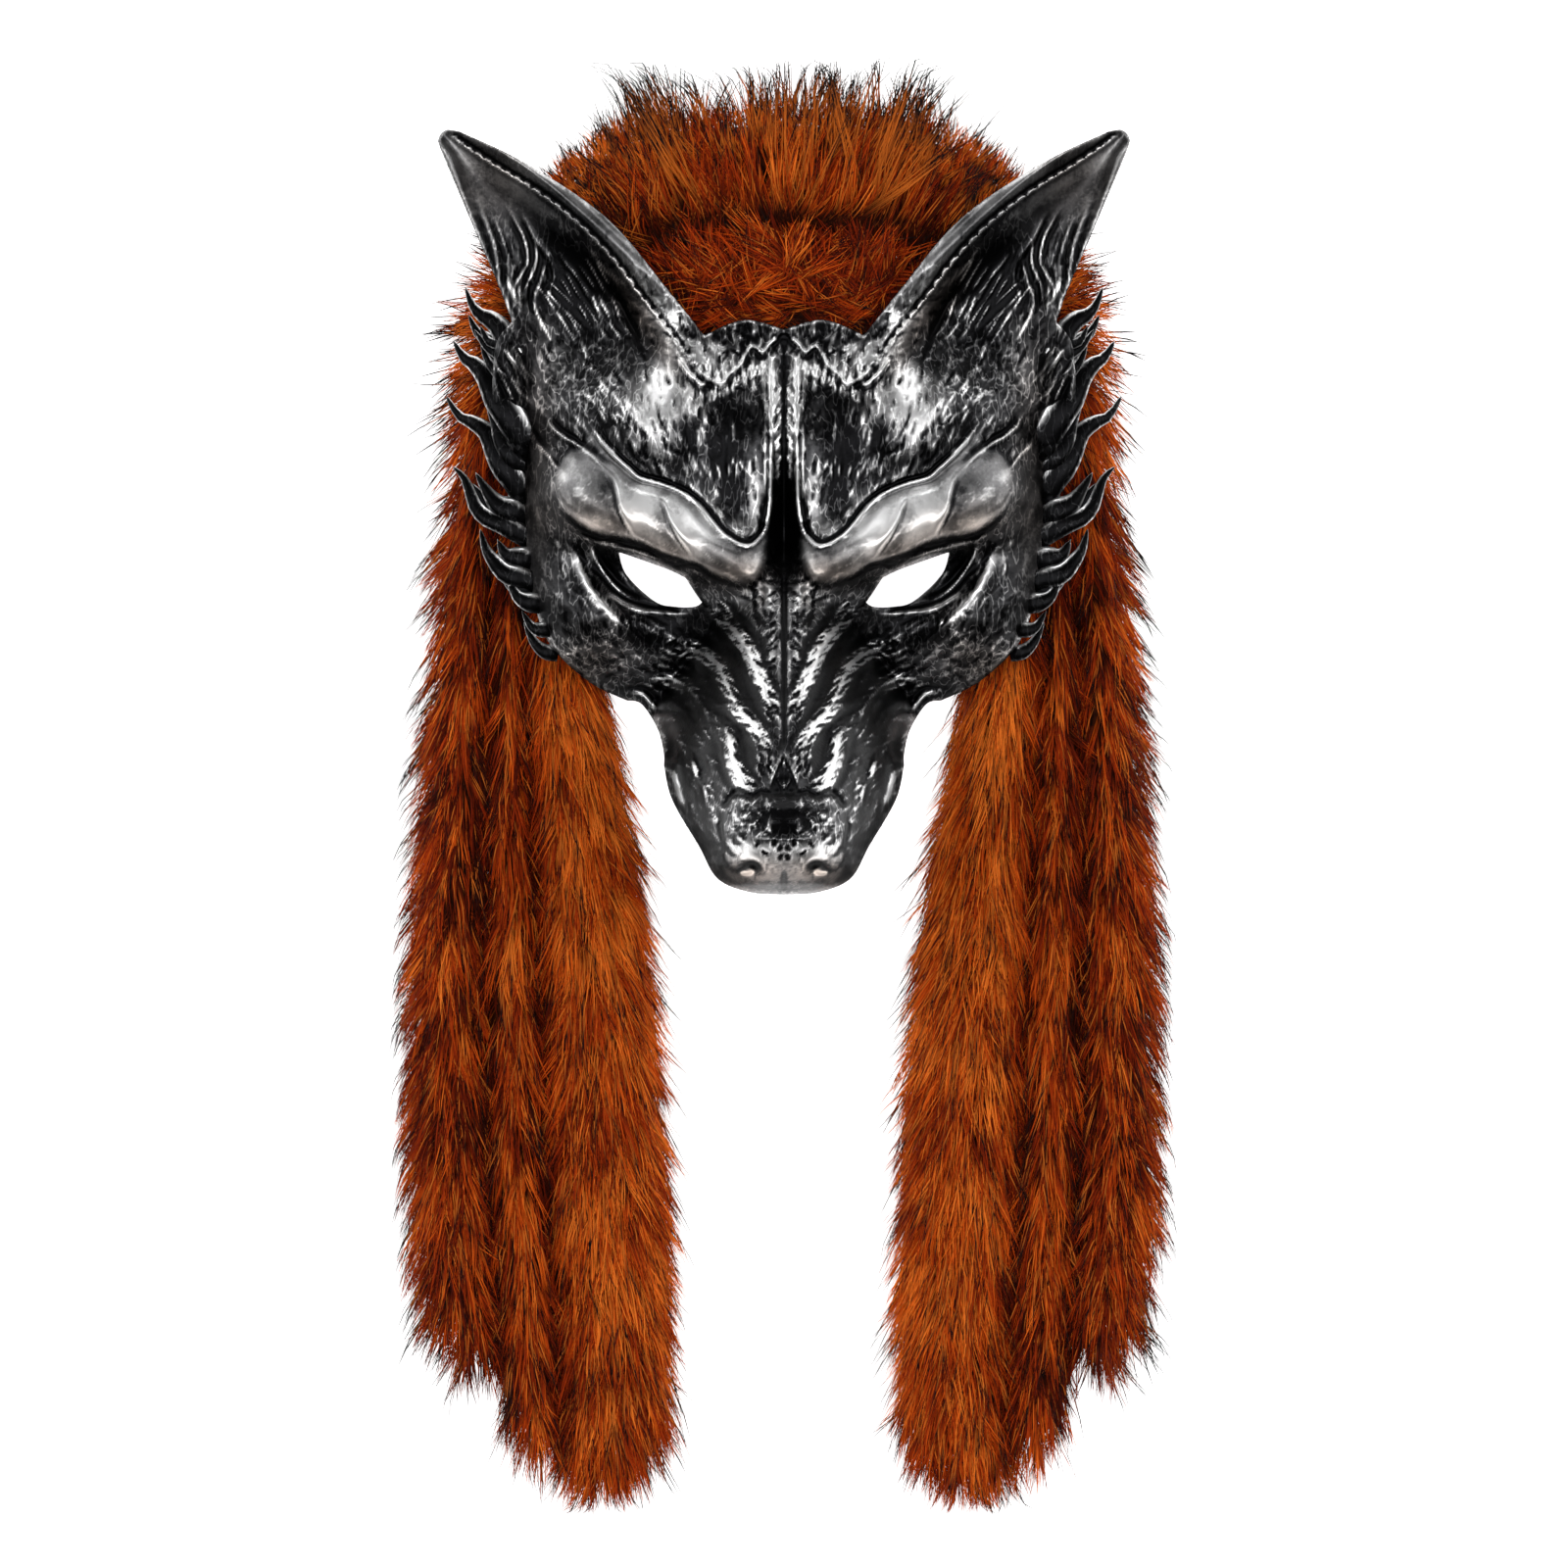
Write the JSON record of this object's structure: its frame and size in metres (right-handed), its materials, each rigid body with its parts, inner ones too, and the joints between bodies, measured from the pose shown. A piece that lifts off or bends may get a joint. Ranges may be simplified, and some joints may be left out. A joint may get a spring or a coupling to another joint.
{
  "type": "fox mask with fur headdress",
  "caption": "Hollow moulded half mask of a fox or wolf face with upright ears, open eyes and side locks, on a fur headdress that hangs down both sides.",
  "frame": {"origin": "on the surface the mask lies on, under the middle of its outer size", "axes": "+Y from the muzzle to the ears, along the hanging fur; +Z out of the face, straight up as it lies; +X to the side that the picture shows on the right"},
  "size_m": [0.2476, 0.4576, 0.1451],
  "materials": {
    "antique_silver": "antique silver coat over black, rubbed bright on the ridges",
    "fox_fur": "long orange-brown fur with dark red roots and black tips"
  },
  "bodies": {
    "root": {"mask_shell": "antique_silver", "fur_roll_inner": "fox_fur", "fur_roll_middle": "fox_fur", "fur_roll_outer": "fox_fur"}
  },
  "joints": []
}
